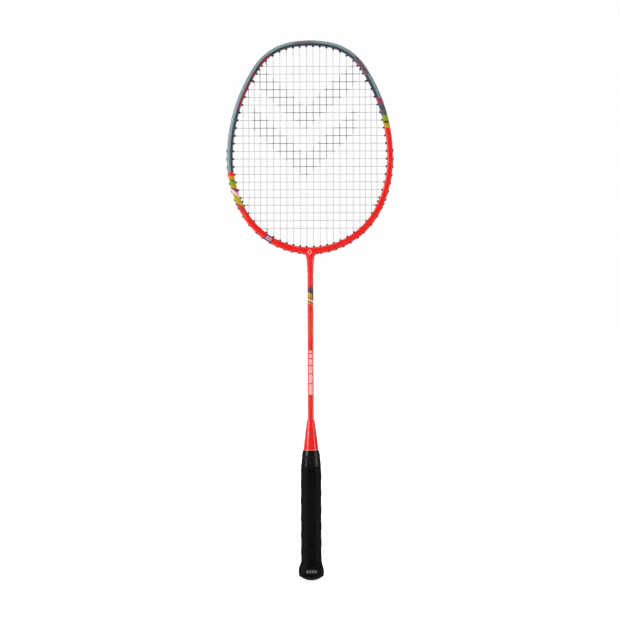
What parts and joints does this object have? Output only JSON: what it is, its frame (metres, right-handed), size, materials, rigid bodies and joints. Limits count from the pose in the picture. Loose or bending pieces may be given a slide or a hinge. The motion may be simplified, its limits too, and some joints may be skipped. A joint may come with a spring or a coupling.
{
  "type": "badminton racket",
  "caption": "Badminton racket with a hollow egg-shaped head, woven string bed in grommets, slim round shaft, tapered cone and wrapped octagonal handle with a flared butt.",
  "frame": {"origin": "centre of the flat end of the butt", "axes": "+Z along the racket from the butt to the crown of the head; +Y through the string bed from the front face to the back face; +X across the head, to the right seen from the front"},
  "size_m": [0.2096, 0.0296, 0.6752],
  "materials": {
    "frame_lacquer": "gloss",
    "shaft_lacquer": "gloss",
    "cone_plastic": "gloss",
    "joint_metal": "satin",
    "handle_wood": "matte",
    "butt_plastic": "satin",
    "grip_tape": "matte",
    "staple_steel": "satin",
    "finishing_tape": "gloss",
    "string_nylon": "satin",
    "grommet_nylon": "satin"
  },
  "bodies": {
    "root": {"head_frame": "frame_lacquer", "joint_insert": "joint_metal", "shaft": "shaft_lacquer", "handle_cone": "cone_plastic", "handle_core": "handle_wood", "butt_cap": "butt_plastic", "grip_tape": "grip_tape", "grip_staple": "staple_steel", "finishing_tape": "finishing_tape", "main_string": "string_nylon", "cross_string": "string_nylon", "crown_grommets": "grommet_nylon", "throat_grommets": "grommet_nylon", "right_shoulder_grommets": "grommet_nylon", "left_shoulder_grommets": "grommet_nylon", "right_side_grommets": "grommet_nylon", "left_side_grommets": "grommet_nylon", "right_lower_grommets": "grommet_nylon", "left_lower_grommets": "grommet_nylon"}
  },
  "joints": []
}
